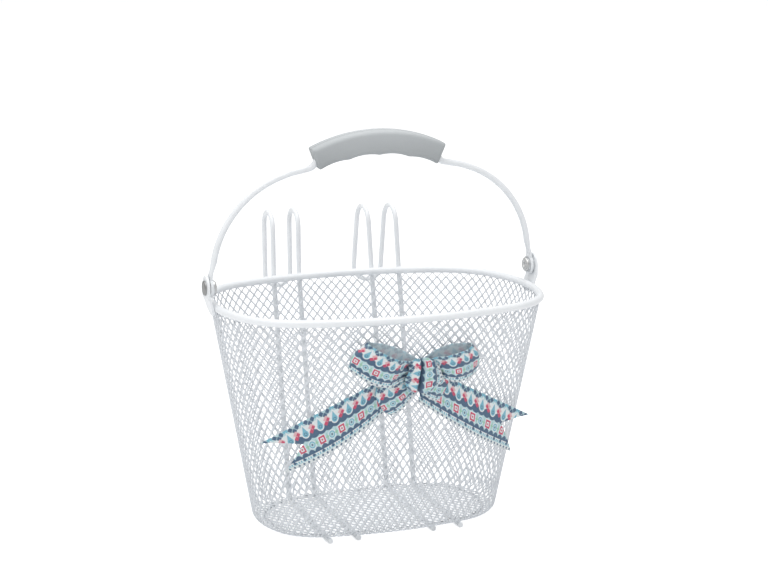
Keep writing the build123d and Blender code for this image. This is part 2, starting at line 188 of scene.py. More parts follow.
def rgb(r, g, b):
    """A colour given as display values from 0 to 255, as the linear light Blender uses."""
    c = np.array([r, g, b]) / 255
    linear = np.where(c <= 0.04045, c / 12.92, ((c + 0.055) / 1.055) ** 2.4)
    return (*[float(x) for x in linear], 1.0)


# %% [markdown]
# ## White powder coat
#
# The wires and the mesh are steel, dusted with white powder that is baked into a
# satin plastic skin. It is never quite flat: it pools into soft waves a millimetre
# or two across, called orange peel, and its gloss varies a little. Noise on Object
# coordinates gives both. A faint cool shade keeps the white from looking like paper.

# %% Powder coat for wires and for the mesh
def powder_coat(name, peel, dark, light):
    """Satin coat. peel is the height of the orange peel, in metres."""
    b = Bench(name)
    where = b.node("ShaderNodeTexCoord", out=3)
    waves = b.noise(where, 700.0, 2.0)
    clouds = b.noise(where, 55.0, 3.0)
    tone = b.mix(clouds, dark, light)
    speck = b.noise(where, 2600.0, 1.0)
    tone = b.mix((speck > 0.71) * 0.25, tone, rgb(205, 208, 212))
    return b.surface(
        Base_Color=tone,
        Roughness=0.27 + clouds * 0.12 + waves * 0.05,
        Coat_Weight=0.25,
        Coat_Roughness=0.2,
        Normal=b.bump(waves, peel),
    )


wire_coat = powder_coat("white powder coat", 0.00006, rgb(234, 237, 240), rgb(244, 246, 248))
# painted shade: the mesh gets the same white powder coat as the wires, made darker to stand in for the
# shade on its thin strands under the rim
mesh_coat_painted_darker = powder_coat("white mesh coat painted darker for shade", 0.00004, rgb(216, 220, 225), rgb(228, 231, 235))


# %% [markdown]
# ## Rivets and washers
#
# The rivets are plain steel. Their rings were left when the heads were spun, and the
# outer heads have dulled. The washers are paler zinc. Both need fine circular scratches
# round the pivot line and darker blotches. The distance from the pivot, fed to a fine
# noise, gives rings, and the head's noise breaks them up.

# %% Metals at the pivots
pivot = Vector(frame["joints"][0]["pos_m"])
OUTER_HEAD_X = 0.1345                     # the outer rivet heads lie beyond this
print("pivot", [round(x, 4) for x in pivot])


def turned_metal(name, dark, light, roughness, tarnish):
    """Metal with rings about the pivot line and clouds, darker on the outer heads."""
    b = Bench(name)
    where = b.node("ShaderNodeTexCoord", out=3)
    moved = b.node("ShaderNodeMapping", {}, [where, (-pivot.x, -pivot.y, -pivot.z)])
    flat = b.node("ShaderNodeVectorMath", {"operation": "MULTIPLY"}, [moved, (0.0, 1.0, 1.0)])
    radius = b.node("ShaderNodeVectorMath", {"operation": "LENGTH"}, [flat], out=1)
    spread = b.node("ShaderNodeCombineXYZ", {}, [radius * 9000.0, 0.0, 0.0])
    rings = b.noise(spread, 1.0, 3.0)
    clouds = b.noise(where, 420.0, 4.0)
    tone = b.mix(clouds * 0.6 + rings * 0.4, dark, light)
    across = b.node("ShaderNodeSeparateXYZ", {}, [where], out=0)
    tone = b.mix((abs(across) > OUTER_HEAD_X) * tarnish, tone, rgb(92, 92, 94))
    return b.surface(
        Base_Color=tone,
        Metallic=1.0,
        Roughness=roughness + rings * 0.16 + clouds * 0.1,
        Normal=b.bump(rings, 0.00002),
    )


rivet_steel = turned_metal("dull rivet steel", rgb(186, 186, 185), rgb(232, 232, 231), 0.26, 0.6)
washer_zinc = turned_metal("pale washer zinc", rgb(200, 202, 204), rgb(230, 232, 234), 0.3, 0.0)

# %% [markdown]
# ## The grip
#
# The grip is moulded in grey plastic in two halves. Its skin comes from a mould that
# was etched to a fine leather-like grain, so it is matt, with tiny pits. Its colour is
# painted darker low down and lighter on top, a painted shade of its rounded face that
# follows the height within the grip. The halves meet in a thin dark line: a narrow
# band about the plane through the pivots that leans forward with the handle.

# %% Moulded grey plastic
grip_low, grip_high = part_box("grip_front_half")
HANDLE_LEAN = np.radians(6.0)             # the handle rests this far forward
SEAM = 0.00022                            # half the width of the line between the halves


def moulded_plastic(name):
    """Matt grey with etched pits, painted darker low down as shade on its rounded face."""
    b = Bench(name)
    where = b.node("ShaderNodeTexCoord", out=3)
    height = b.node("ShaderNodeSeparateXYZ", {}, [where], out=2)
    span = grip_high.z - grip_low.z
    painted_shade_by_height = (height - grip_low.z) / span
    clouds = b.noise(where, 45.0, 3.0)
    # painted shade: the grip is darker towards its bottom and lighter on top, as light falls on its rounded
    # face
    tone = b.mix(painted_shade_by_height * 0.8 + clouds * 0.2, rgb(158, 162, 164), rgb(197, 201, 203))
    depth = b.node("ShaderNodeSeparateXYZ", {}, [where], out=1) - pivot.y
    off_seam = depth * np.cos(HANDLE_LEAN) + (height - pivot.z) * np.sin(HANDLE_LEAN)
    tone = b.mix((abs(off_seam) < SEAM) * 0.6, tone, rgb(84, 87, 90))
    cells = b.node("ShaderNodeTexVoronoi", {"feature": "F1"}, {"Vector": where, "Scale": 2300.0})
    fine = b.noise(where, 5200.0, 2.0)
    grain = cells * 0.7 + fine * 0.5
    tone = b.mix((cells < 0.16) * 0.3, tone, rgb(140, 144, 147))
    return b.surface(
        Base_Color=tone,
        Roughness=0.52 + grain * 0.16 + clouds * 0.06,
        Normal=b.bump(grain, 0.00006),
    )


grip_plastic = moulded_plastic("grey grip plastic")

# %% Finishes on the CAD pieces
finishes = {
    "rim_wire": wire_coat,
    "hook_wire_left": wire_coat,
    "hook_wire_right": wire_coat,
    "bracket_left": wire_coat,
    "bracket_right": wire_coat,
    "handle_wire": wire_coat,
    "rivet_left": rivet_steel,
    "rivet_right": rivet_steel,
    "washer_outer_left": washer_zinc,
    "washer_outer_right": washer_zinc,
    "washer_inner_left": washer_zinc,
    "washer_inner_right": washer_zinc,
    "grip_front_half": grip_plastic,
    "grip_rear_half": grip_plastic,
}
for node_name, finish in finishes.items():
    for slot in frame["nodes"][node_name].material_slots:
        slot.material = finish
print("finishes on", len(finishes), "CAD pieces")


# %% [markdown]
# ## The tub's surface
#
# Before there is a mesh there is the smooth surface that it lies on. Seen from above
# it is an oval of eight arcs at every height. One quarter is enough to work out: an
# end arc, a corner arc and half of a long arc, met end to end. The other quarters are
# the same with signs changed. Down the side the oval shrinks from the rim's to the
# floor's, then a quarter circle turns it under into the floor.

# %% The oval, and the surface from rim to floor
def oval(turn, sizes):
    """Point and outward direction at a share of the way round an eight-arc oval.

    sizes are half width, half depth and the radii of the long, end and corner arcs.
    The corner arc's centre is where circles about the other two centres cross, with
    radii less the corner's. The distance along the quarter picks the arc; its angle
    is the distance from the arc's start over its radius.
    """
    half_w, half_d, long_r, end_r, corner_r = sizes
    cx, cy = half_w - end_r, half_d - long_r
    r1, r2 = long_r - corner_r, end_r - corner_r
    span = np.hypot(cx, cy)
    along = (span**2 + r1**2 - r2**2) / (2 * span)
    across = np.sqrt(r1**2 - along**2)
    ux, uy = cx / span, -cy / span
    px, py = ux * along - uy * across, cy + uy * along + ux * across
    qx, qy = ux * along + uy * across, cy + uy * along - ux * across
    other = (qx > 0) & (qy > 0)
    px, py = np.where(other, qx, px), np.where(other, qy, py)
    t_long, t_end = np.arctan2(py - cy, px), np.arctan2(py, px - cx)
    end_len, corner_len = end_r * t_end, corner_r * (t_long - t_end)
    quarter = end_len + corner_len + long_r * (np.pi / 2 - t_long)
    q = np.mod(turn, 1.0) * 4
    k = np.minimum(np.floor(q), 3)
    w = np.where(k % 2 == 0, q - k, 1 - (q - k)) * quarter
    in_end, in_corner = w < end_len, w < end_len + corner_len
    angle = np.where(
        in_end,
        w / end_r,
        np.where(
            in_corner,
            t_end + (w - end_len) / corner_r,
            t_long + (w - end_len - corner_len) / long_r,
        ),
    )
    radius = np.where(in_end, end_r, np.where(in_corner, corner_r, long_r))
    x0 = np.where(in_end, cx, np.where(in_corner, px, 0.0))
    y0 = np.where(in_end, 0.0, np.where(in_corner, py, cy))
    sx = np.where((k == 1) | (k == 2), -1.0, 1.0)
    sy = np.where(k >= 2, -1.0, 1.0)
    nx, ny = sx * np.cos(angle), sy * np.sin(angle)
    return sx * x0 + radius * nx, sy * y0 + radius * ny, nx, ny, 4 * quarter


MESH_TOP = RIM_Z - 0.0021                 # the mesh is welded into the rim's underside
WALL_RUN = (MESH_TOP - FLOOR_Z - EDGE_R) / np.cos(WALL_LEAN)
EDGE_RUN = EDGE_R * np.pi / 2


def tub(turn, run):
    """Point and normal of the tub, a share round and a distance down from the rim.

    On the wall the height falls by the run times the cosine of the lean, and the oval
    is mixed between the rim's and the floor's by height. On the edge the run is an
    angle on the quarter circle, and past it the oval is only drawn in.
    """
    bend = np.clip((run - WALL_RUN) / EDGE_R, 0, np.pi / 2)
    flat = np.maximum(run - WALL_RUN - EDGE_RUN, 0)
    z = MESH_TOP - np.minimum(run, WALL_RUN) * np.cos(WALL_LEAN)
    z = z - EDGE_R * np.sin(bend) + SKIN / 2 * (bend > 0) * np.sin(bend)
    share = np.clip((z - FLOOR_Z) / BODY_H, 0, 1)
    drawn_in = EDGE_R * (1 - np.cos(bend)) + flat
    sizes = [b + (r - b) * share - drawn_in for b, r in zip(BASE_OVAL, RIM_OVAL)]
    x, y, nx, ny, around = oval(turn, sizes)
    y = y + MIDDLE_Y + BASE_BACK * (1 - share)
    down = WALL_LEAN + (np.pi / 2 - WALL_LEAN) * bend / (np.pi / 2)
    normal = np.stack([nx * np.cos(down), ny * np.cos(down), -np.sin(down)], -1)
    return np.stack([x, y, z], -1), normal, around


# %% [markdown]
# ## Expanded metal
#
# The mesh is sheet steel that was slit and pulled open, so its strands are one piece
# with the crossings, which are twice as wide as a strand, and each strand leans a
# little out of the sheet. Boxes laid along the strands would cross without joining.
# Here the tile is the hole instead: each diamond between four crossings becomes a
# ring from its outline to its rounded hole, thick in the middle of a strand and thin
# at the hole's edge, and neighbouring tiles share their outlines.

# %% A sheet of diamonds
STRAND_MID = 0.00048                      # half thickness along a strand's middle
STRAND_EDGE = 0.0002                      # half thickness at a hole's edge
STRAND_LEAN = 0.00028                     # how far a strand leans out of the sheet
RING = np.array([(0, -1), (0.5, -0.5), (1, 0), (0.5, 0.5), (0, 1), (-0.5, 0.5), (-1, 0), (-0.5, -0.5)])
HOLE = RING * np.array([0.75, 0.785] * 4)[:, None]


def diamonds(columns, rows, place):
    """Points and faces of expanded metal with a hole at each (column, row).

    place(column, row) gives points and normals. A tile has four rings of eight points:
    front outline, front of the hole, back of the hole and back outline, joined by
    quads. Equal points are merged, and an outline side that only one tile uses gets a
    face between front and back, which closes the sheet's border.
    """
    edge, edge_n = place(columns[:, None] + RING[:, 0], rows[:, None] + RING[:, 1])
    hole, hole_n = place(columns[:, None] + HOLE[:, 0], rows[:, None] + HOLE[:, 1])
    lean = hole_n * (STRAND_LEAN * HOLE[:, 1])[None, :, None]
    rings = [
        edge + edge_n * STRAND_MID,
        hole + hole_n * STRAND_EDGE + lean,
        hole - hole_n * STRAND_EDGE + lean,
        edge - edge_n * STRAND_MID,
    ]
    points = np.stack(rings, 1).reshape(-1, 3)
    _, first, ids = np.unique(np.round(points, 6), axis=0, return_index=True, return_inverse=True)
    points, ids = points[first], ids.reshape(len(columns), 4, 8)
    after = np.roll(ids, -1, axis=2)
    faces = np.stack([ids[:, :3], ids[:, 1:], after[:, 1:], after[:, :3]], -1).reshape(-1, 4)
    front = np.stack([ids[:, 0], after[:, 0]], -1).reshape(-1, 2)
    back = np.stack([ids[:, 3], after[:, 3]], -1).reshape(-1, 2)
    _, side, uses = np.unique(np.sort(front, 1), axis=0, return_inverse=True, return_counts=True)
    alone = uses[side.ravel()] == 1
    border = np.concatenate([front[alone], back[alone][:, ::-1]], 1)
    return points, np.concatenate([faces, border])


# %% [markdown]
# ## Wall mesh
#
# Pulling the sheet round the tub keeps every strand as long as it was. Where the tub
# is wide, at the rim, the diamonds are wide and low; towards the floor they close up
# and grow taller. So the row height comes from Pythagoras: half the strand's square
# less half the width's. Adding up one over that height gives the row number at each
# depth, and reading that backwards gives the depth of each row. The front is pulled a
# little wider than the back.

# %% Wall mesh, round the lower edge and on to the floor
CELLS = 92                                # diamonds round the tub
STRAND = 0.00593                          # length of one strand
FRONT_PULL = 0.075                        # extra width of the front's diamonds at the rim

runs = np.linspace(0, WALL_RUN + EDGE_RUN + 0.012, 4000)
_, _, perimeters = tub(np.zeros_like(runs), runs)
row_height = np.sqrt(STRAND**2 - (perimeters / CELLS / 2) ** 2)
row_number = np.concatenate([[0], np.cumsum(np.diff(runs) / row_height[:-1])])
ROWS = int(np.interp(WALL_RUN + EDGE_RUN + 0.007, runs, row_number))
print(ROWS, "half rows, the first", round(row_height[0] * 1000, 2), "mm")


def wall_place(column, row):
    """Column and row of the lattice to a point on the tub."""
    run = np.interp(row, np.arange(ROWS + 1), np.interp(np.arange(ROWS + 1), row_number, runs))
    share = column / (2 * CELLS)
    fade = 1 - np.clip(run / WALL_RUN, 0, 1)
    turn = share + FRONT_PULL / (2 * np.pi) * np.sin(2 * np.pi * (share - 0.75)) * fade
    wave = 0.00035 * np.sin(2 * np.pi * (7 * share + row / 11)) * np.sin(2 * np.pi * (3 * share - row / 17))
    point, normal, _ = tub(turn, np.maximum(run + wave * np.minimum(1, row / 3), 0))
    return point, normal


column, row = np.meshgrid(np.arange(2 * CELLS), np.arange(1, ROWS))
odd = (column + row) % 2 == 1
points, quads = diamonds(column[odd], row[odd], wall_place)
wall_mesh = quad_piece("wall_mesh", points, quads, [mesh_coat_painted_darker])
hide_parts("mesh_wall")
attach(wall_mesh, "basket")

# %% [markdown]
# ## Floor mesh
#
# The floor is flat sheet of the same mesh, laid in the tub and welded to the strands
# that come round the lower edge. A tile is kept where its middle is inside the oval,
# and outline points beyond the oval are drawn back on to it, which trims the edge.

# %% Floor mesh
FLOOR_CELL = 0.0063                       # width of a floor diamond
FLOOR_IN = EDGE_R + 0.0012                # the disc ends this far inside the wall
floor_row = np.sqrt(STRAND**2 - (FLOOR_CELL / 2) ** 2)
turns = np.linspace(0, 1, 1441)[:-1]
ox, oy, _, _, _ = oval(turns, list(BASE_OVAL - FLOOR_IN))
direction = np.arctan2(oy, ox)
order = np.argsort(direction)
direction, reach = direction[order], np.hypot(ox, oy)[order]


def floor_place(column, row):
    """Column and row to a point of the flat floor, drawn back to the oval's edge."""
    x, y = column * FLOOR_CELL / 2, row * floor_row
    limit = np.interp(np.arctan2(y, x), direction, reach, period=2 * np.pi)
    back = np.minimum(1, limit / np.maximum(np.hypot(x, y), 1e-6))
    z = np.full(x.shape, FLOOR_Z + SKIN / 2 + 0.0009)
    point = np.stack([x * back, y * back + MIDDLE_Y + BASE_BACK, z], -1)
    return point, np.broadcast_to(np.array([0.0, 0.0, -1.0]), point.shape)


across = int(BASE_OVAL[0] / FLOOR_CELL * 2) + 2
deep = int(BASE_OVAL[1] / floor_row) + 2
column, row = np.meshgrid(np.arange(-across, across + 1), np.arange(-deep, deep + 1))
x, y = column * FLOOR_CELL / 2, row * floor_row
inside = np.hypot(x, y) < np.interp(np.arctan2(y, x), direction, reach, period=2 * np.pi) - 0.0015
kept = ((column + row) % 2 == 1) & inside
points, quads = diamonds(column[kept], row[kept], floor_place)
floor_mesh = quad_piece("floor_mesh", points, quads, [mesh_coat_painted_darker])
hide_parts("mesh_base")
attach(floor_mesh, "basket")

# %% [markdown]
# ## The ribbon's print
#
# The ribbon is woven in white and printed in rows that run along it: navy diamonds and
# light-blue discs at the upper edge, drops between pink diamonds on a navy wave, a pale
# band of small hollow squares and rosettes, then navy scallops over a lace edge. Every
# shape is a distance from a centre that repeats along the ribbon, so each is a few
# lines of arithmetic on the UV map: U runs along the ribbon in metres, and V goes from
# 0 at its upper edge to 1 at its lower.

# %% Print and weave
RIBBON_W = 0.027                          # width of the ribbon
NAVY, NAVY_DEEP = rgb(62, 97, 130), rgb(48, 82, 116)
LIGHT_BLUE, PALE_BLUE = rgb(124, 192, 214), rgb(196, 226, 232)
CREAM, PINK, BLUSH = rgb(240, 245, 246), rgb(214, 66, 104), rgb(236, 186, 190)
MINT = rgb(160, 212, 184)
THREAD = rgb(222, 236, 243)               # the bare threads, as they show on the reverse
# rows across the ribbon, in millimetres from its upper edge
EDGE_BAND, DROPS_AT, WAVE_TOP, WAVE_END = 3.2, 8.2, 9.2, 13.4
SQUARES_AT, SCALLOPS_AT, LACE_AT = 16.6, 19.2, 22.3
# repeats along it, in millimetres
DROP_STEP, SQUARE_STEP = 11.8, 17.0


def ribbon_print(name, strength):
    """The print at a strength of 1 on the face, and paler as it shows on the reverse."""
    b = Bench(name)
    uv = b.node("ShaderNodeUVMap", {"uv_map": "ribbon"})
    u = b.node("ShaderNodeSeparateXYZ", {}, [uv], out=0) * 1000.0
    v = b.node("ShaderNodeSeparateXYZ", {}, [uv], out=1) * (RIBBON_W * 1000)

    def from_centre(period, start):
        """Millimetres along the ribbon from the nearest centre of a repeated shape."""
        return (u - start + period / 2) % period - period / 2

    def diamond(period, start, row, wide, tall):
        return (abs(from_centre(period, start)) * (1 / wide) + abs(v - row) * (1 / tall)) < 1.0

    def disc(period, start, row, radius):
        a, c = from_centre(period, start), v - row
        return (a * a + c * c) < radius**2

    # pale edge with discs and small navy diamonds
    colour = b.mix((v > 0.0) * (v < EDGE_BAND), CREAM, PALE_BLUE)
    colour = b.mix(disc(DROP_STEP, 0.0, 0.6, 1.7), colour, LIGHT_BLUE)
    for start, row in ((3.4, 1.4), (8.4, 1.4), (5.9, 3.2)):
        colour = b.mix(diamond(DROP_STEP, start, row, 1.9, 1.9), colour, NAVY)
    # navy wave under the drops
    wave = from_centre(DROP_STEP, 0.0)
    lift = wave * wave * 0.055
    colour = b.mix(((v + lift) > WAVE_TOP) * (v < WAVE_END), colour, NAVY)
    scallop = from_centre(DROP_STEP / 2, 0.0)
    colour = b.mix((v + scallop * scallop * 0.12) > 13.3, colour, PALE_BLUE)
    # drops with a cream outline, and pink diamonds between them
    def drop(size):
        a, c = abs(from_centre(DROP_STEP, 0.0)), v - DROPS_AT
        round_part = (a * a + c * c) < size**2
        point = (c < 0.0) * ((a - c * 0.42) < size)
        return round_part.either(point)
    colour = b.mix(drop(3.0), colour, CREAM)
    colour = b.mix(drop(2.2), colour, LIGHT_BLUE)
    colour = b.mix(disc(DROP_STEP, 0.0, 8.4, 1.1), colour, NAVY_DEEP)
    colour = b.mix(disc(DROP_STEP, 0.0, 8.4, 0.75), colour, LIGHT_BLUE)
    colour = b.mix(diamond(DROP_STEP, DROP_STEP / 2, 5.8, 2.6, 2.3), colour, BLUSH)
    colour = b.mix(diamond(DROP_STEP, DROP_STEP / 2 - 0.9, 6.6, 1.6, 1.5), colour, PINK)
    colour = b.mix(diamond(DROP_STEP, DROP_STEP / 2 + 1.1, 8.4, 1.9, 1.6), colour, PINK)
    # pale band: hollow squares, rosettes and crosses
    colour = b.mix(disc(SQUARE_STEP, SQUARE_STEP / 2, SQUARES_AT, 3.0), colour, CREAM)
    colour = b.mix(disc(SQUARE_STEP, SQUARE_STEP / 2, SQUARES_AT, 2.4), colour, LIGHT_BLUE)
    colour = b.mix(disc(SQUARE_STEP, SQUARE_STEP / 2, SQUARES_AT, 1.6), colour, PALE_BLUE)
    colour = b.mix(disc(SQUARE_STEP, SQUARE_STEP / 2, SQUARES_AT, 0.7), colour, NAVY)
    for place in (0.27, 0.73):
        cross_at = SQUARE_STEP * place
        colour = b.mix(diamond(SQUARE_STEP, cross_at, SQUARES_AT, 0.6, 3.2), colour, MINT)
        colour = b.mix(diamond(SQUARE_STEP, cross_at, SQUARES_AT, 2.2, 0.7), colour, MINT)

    def square(size):
        return (abs(from_centre(SQUARE_STEP, 0.0)) < size) * (abs(v - SQUARES_AT) < size)
    colour = b.mix(square(3.1), colour, CREAM)
    colour = b.mix(square(2.5), colour, PINK)
    colour = b.mix(square(1.4), colour, CREAM)
    colour = b.mix(square(0.6), colour, PINK)
    # navy scallops standing on a line
    bead = from_centre(SQUARE_STEP / 3, 0.0)
    colour = b.mix((v - bead * bead * 0.25) > SCALLOPS_AT, colour, NAVY)
    colour = b.mix(v > LACE_AT, colour, CREAM)
    # lace: a ladder under the line, arcs, and navy dots at the edge
    rung = abs(from_centre(2.1, 0.0)) < 0.55
    colour = b.mix(rung * (v > 22.9) * (v < 24.4), colour, LIGHT_BLUE)
    colour = b.mix((v > 24.2) * (v < 24.8), colour, PALE_BLUE)
    colour = b.mix(diamond(SQUARE_STEP / 4, 0.0, 25.8, 1.1, 0.9), colour, NAVY)
    colour = b.mix(diamond(SQUARE_STEP / 2, 2.2, 23.2, 1.5, 1.3), colour, NAVY)
    # the weave: threads along and across, a quarter of a millimetre apart
    warp, weft = (u * 25.1).sin(), (v * 25.1).sin()
    weave = warp * weft
    cloudy = b.noise(b.node("ShaderNodeTexCoord", out=3), 160.0, 3.0)
    shade = (1.0 - strength) + weave * 0.03 + cloudy * 0.06
    colour = b.mix(shade, colour, THREAD)
    return b.surface(
        Base_Color=colour,
        Roughness=0.62 + weave * 0.06 + cloudy * 0.08,
        Sheen_Weight=0.25,
        Sheen_Roughness=0.4,
        Normal=b.bump(weave, 0.00005),
    )


ribbon_face = ribbon_print("printed ribbon", 0.97)
ribbon_back = ribbon_print("ribbon reverse", 0.30)


# %% [markdown]
# ## Cloth as a grid
#
# A ribbon is a strip: a grid of points, along it and across it. To give it two faces,
# the printed one and the paler reverse, the grid is moved half the cloth's thickness
# to each side along its own normals, and the border is closed. The faces know which
# side they are on, so each gets its own finish.

# %% A strip of cloth from a grid of points
CLOTH = 0.0004                            # thickness of the ribbon


def strip(name, grid, along, across):
    """Closed cloth from grid (along, across, 3); the print is where the normals point.

    The normal is the cross product of the steps along and across. U is the distance
    along and V the share across.
    """
    nu, nv = grid.shape[:2]
    normal = np.cross(np.gradient(grid, axis=0), np.gradient(grid, axis=1))
    normal /= np.linalg.norm(normal, axis=2, keepdims=True)
    offset = normal * CLOTH / 2
    both = np.concatenate([(grid + offset).reshape(-1, 3), (grid - offset).reshape(-1, 3)])
    ids = np.arange(nu * nv).reshape(nu, nv)
    face = np.stack([ids[:-1, :-1], ids[1:, :-1], ids[1:, 1:], ids[:-1, 1:]], -1).reshape(-1, 4)
    rim = np.concatenate([ids[:, 0], ids[-1, 1:], ids[-2::-1, -1], ids[0, -2:0:-1]])
    after, n = np.roll(rim, -1), nu * nv
    rim_faces = np.stack([after, rim, rim + n, after + n], -1)
    quads = np.concatenate([face, face[:, ::-1] + n, rim_faces])
    index = np.concatenate([np.zeros(len(face)), np.ones(len(face)), np.zeros(len(rim_faces))])
    uv = np.tile(np.stack([along, across], -1).reshape(-1, 2), (2, 1))
    piece = quad_piece(name, both, quads, [ribbon_face, ribbon_back], index, uv)
    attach(piece, "basket")
    return piece


# %% [markdown]
# ## Where the bow lies
#
# The bow has its own directions: x to the right, up the leaning front wall, and out
# from it. Its shapes are simple in those, so a small function turns them into the
# basket's.

# %% The bow's own directions
BOW_X, BOW_Z = 0.003, 0.134 + FLOOR_Z
bow_lean = np.arctan2(RIM_OVAL[1] - BASE_OVAL[1] + BASE_BACK, BODY_H)
wall_y = -(BASE_OVAL[1] - BASE_BACK) - (BOW_Z - FLOOR_Z) * np.tan(bow_lean)
BOW_AT = np.array([BOW_X, wall_y - 0.0009 / np.cos(bow_lean) + MIDDLE_Y, BOW_Z])
BOW_RIGHT = np.array([1.0, 0.0, 0.0])
BOW_UP = np.array([0.0, -np.sin(bow_lean), np.cos(bow_lean)])
BOW_OUT = np.array([0.0, -np.cos(bow_lean), -np.sin(bow_lean)])
print("bow at", np.round(BOW_AT, 4).tolist())


def bow_point(x, up, out):
    """Millimetres right, up the wall and out of it, to a point in metres."""
    x, up, out = np.broadcast_arrays(x, up, out)
    moved = x[..., None] * BOW_RIGHT + up[..., None] * BOW_UP + out[..., None] * BOW_OUT
    return BOW_AT + moved / 1000


def lengths(grid):
    """Distance along a strip, from its first row of points, at its middle line."""
    middle = grid[:, grid.shape[1] // 2]
    steps = np.linalg.norm(np.diff(middle, axis=0), axis=1)
    return np.concatenate([[0], np.cumsum(steps)])


def smooth(t):
    """From 0 to 1 with level ends."""
    t = np.clip(t, 0, 1)
    return t * t * (3 - 2 * t)


# %% [markdown]
# ## Loops of the bow
#
# A loop leaves the knot behind, runs out along the wall, folds over and comes back in
# front, swelling on its way. Seen from the front its two edges are gentle curves, each
# drawn by three points from the knot to the fold: where it starts, where it heads and
# where it ends. The back layer has an upper edge of its own that shows as a pale band.

# %% Both loops
FOLD_FROM, FOLD_TO = 0.44, 0.56           # the fold's share of a loop's length
NEAR_WALL = 1.4                           # the back layer's distance from the wall, in mm
KNOT_DIP = 6.5                            # the front's distance where it enters the knot


def curve3(points, t):
    """Quadratic curve from three (x, up) points at the shares t."""
    a, b, c = (np.array(p, float) for p in points)
    t = t[..., None]
    return a * (1 - t) ** 2 + b * 2 * t * (1 - t) + c * t**2


def bow_loop(name, side, top, back_top, bottom, bulge, fold, swell):
    """A folded strip. t runs from behind the knot, round the fold, to its front.

    v goes from the upper edge to the lower. The fold is a half circle of radius fold
    whose middle stands out by bulge. The front swells by a half sine and dips again
    at the knot, where pleats, a sine across, grow.
    """
    t, v = np.meshgrid(np.linspace(0, 1, 97), np.linspace(0, 1, 25), indexing="ij")
    if side < 0:
        t = t[::-1]
    going, coming = np.clip(t / FOLD_FROM, 0, 1), np.clip((t - FOLD_TO) / (1 - FOLD_TO), 0, 1)
    turn = (np.clip((t - FOLD_FROM) / (FOLD_TO - FOLD_FROM), 0, 1) - 0.5) * np.pi
    behind, folding = t < 0.5, (t > FOLD_FROM) & (t < FOLD_TO)
    share = np.where(behind, going, 1 - coming)
    upper = np.where(behind[..., None], curve3(back_top, share), curve3(top, share))
    flat = upper * (1 - v[..., None]) + curve3(bottom, share) * v[..., None]
    away = np.add(top[2], bottom[2]) - np.multiply(bottom[0], 2.0)
    away = away / np.linalg.norm(away)
    push = (bulge * np.sin(np.pi * v) - fold) * share**2 + fold * np.cos(turn) * folding
    flat = flat + away * push[..., None]
    level = NEAR_WALL + fold + fold * np.sin(turn)
    front = NEAR_WALL + 2 * fold + (swell - 2 * fold) * np.sin(np.pi * coming) ** 0.8
    dip = smooth((coming - 0.6) / 0.4)
    front = front * (1 - dip) + KNOT_DIP * dip
    sag = 1.5 * np.sin(np.pi * going) * (t < FOLD_FROM)
    out = np.where(behind, level + sag, np.where(t < FOLD_TO, level, front))
    pleat = 1 - smooth(share / 0.55)
    out = out + 1.5 * pleat * np.sin(v * 4.6 * np.pi + 0.7) * np.where(behind, 0.3, 1.0)
    out = out + 0.8 * np.sin(np.pi * v) * (1 - pleat) * (t > 0.5)
    grid = bow_point(flat[..., 0], flat[..., 1], out)
    along = np.broadcast_to(lengths(grid)[:, None], t.shape)
    return strip(name, grid, along, v)


left_loop = bow_loop(
    "left_loop", -1, [(-7, 15.5), (-28, 25), (-44, 33)], [(-1, 14), (-22, 31), (-44, 34)],
    [(-11, 2), (-36, -3.5), (-58.6, 13.4)], 3.5, 3.6, 14.5,
)
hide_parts("bow_loop_left")
right_loop = bow_loop(
    "right_loop", 1, [(4, 16.5), (19, 26), (38.5, 24.5)], [(0, 14), (16, 30), (38.5, 26)],
    [(12, 1), (27, -1.5), (44, 2.4)], 4.5, 3.2, 13.5,
)
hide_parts("bow_loop_right")


# %% [markdown]
# ## Tails
#
# A tail lies along the wall and ends in a V cut. Its outline is two curved edges that
# spread from the knot, and the V takes away a tent-shaped share of its length.

# %% Both tails
def bow_tail(name, side, curve, top, bottom, notch, notch_at, phase):
    """A strip between a top and a bottom edge, both drawn by three points (x, up).

    curve gives two points (x, back) of the wall's bend: back is the parabola through
    them and the knot. The share along runs to 1 less a tent of height notch that
    peaks at notch_at across. A slow sine lifts the tail a little off the wall.
    """
    t, v = np.meshgrid(np.linspace(0, 1, 81), np.linspace(0, 1, 33), indexing="ij")
    if side > 0:
        v = v[:, ::-1]
    t = t * (1 - notch * np.minimum(v / notch_at, (1 - v) / (1 - notch_at)))
    flat = curve3(top, t) * (1 - v[..., None]) + curve3(bottom, t) * v[..., None]
    x, z = flat[..., 0], flat[..., 1]
    bend = np.linalg.solve([[p[0] ** 2, p[0]] for p in curve], [p[1] for p in curve])
    lift = 0.35 + 0.9 * np.sin(np.pi * t) * (0.5 + 0.5 * np.sin(phase + 7 * t + 2 * v))
    lift = lift + 1.2 * smooth((t - 0.75) / 0.25) * np.abs(v - 0.5)
    y = (bend[0] * x**2 + bend[1] * x) - np.tan(bow_lean) * z - lift
    grid = BOW_AT + np.stack([x, y, z], -1) / 1000
    reach = (np.hypot(*np.subtract(top[2], top[0])) + np.hypot(*np.subtract(bottom[2], bottom[0]))) / 2
    return strip(name, grid, t * reach / 1000, v)


left_tail = bow_tail(
    "left_tail", -1, [(-58.0, 4.4), (-114.0, 22.0)],
    [(-2, 13), (-58, -13), (-115.5, -49.5)], [(-2, -2), (-48, -56), (-96.5, -74.2)], 0.2, 0.5, 0.6,
)
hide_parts("bow_tail_left")
right_tail = bow_tail(
    "right_tail", 1, [(52.0, 3.5), (101.0, 11.0)],
    [(2, 8), (51, -18), (100.5, -45)], [(2, -22), (55, -60.5), (87, -75)], 0.23, 0.46, 2.1,
)
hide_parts("bow_tail_right")


# %% [markdown]
# ## Flaps under the knot
#
# Between knot and tail each end makes one short overlapping fold. It is a strip of its
# own here: a tongue that starts under the knot, stands a little proud of the tail and
# curls at its far edge.

